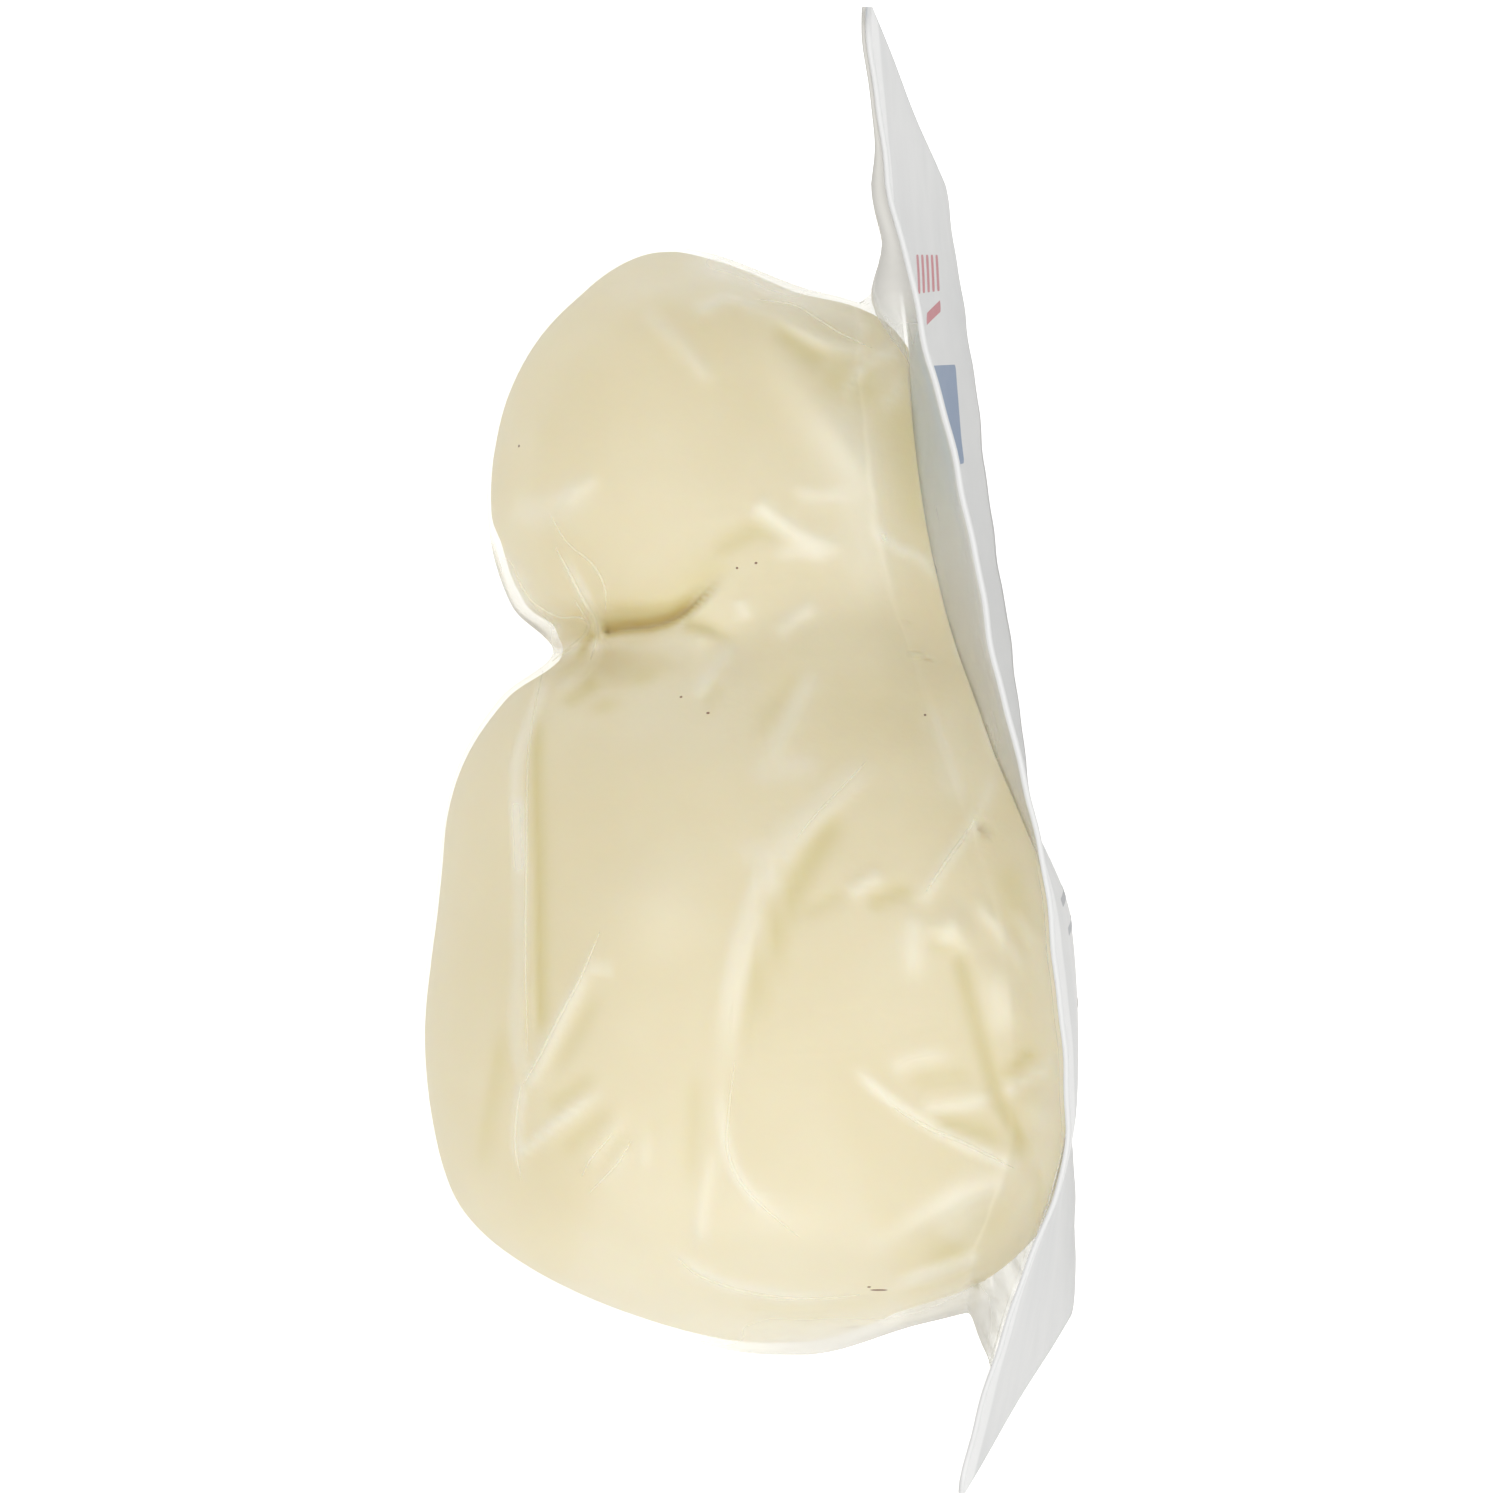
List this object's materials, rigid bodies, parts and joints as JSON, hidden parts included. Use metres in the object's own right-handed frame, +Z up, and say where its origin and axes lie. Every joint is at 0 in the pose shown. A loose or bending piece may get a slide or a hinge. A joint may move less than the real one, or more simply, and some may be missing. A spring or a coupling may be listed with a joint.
{
  "type": "scamorza cheese in a clear vacuum pack",
  "caption": "Pale pear-shaped scamorza with a tied-off head, sealed under clear wrinkled film on a curved white backing sheet, lying on its flank.",
  "frame": {"origin": "on the table the pack lies on, under the middle of its box", "axes": "+Z up from the table, +Y along the pack towards the head of the cheese, +X from the cheese towards the backing sheet"},
  "size_m": [0.0745, 0.136, 0.086],
  "materials": {
    "cheese": "moist cream cheese, faintly waxy, under film",
    "film": "clear glossy film with wrinkles",
    "backing": "white printed plastic sheet, satin"
  },
  "bodies": {
    "root": {"film_pack": "cheese", "backing_sheet": "backing"}
  },
  "joints": []
}
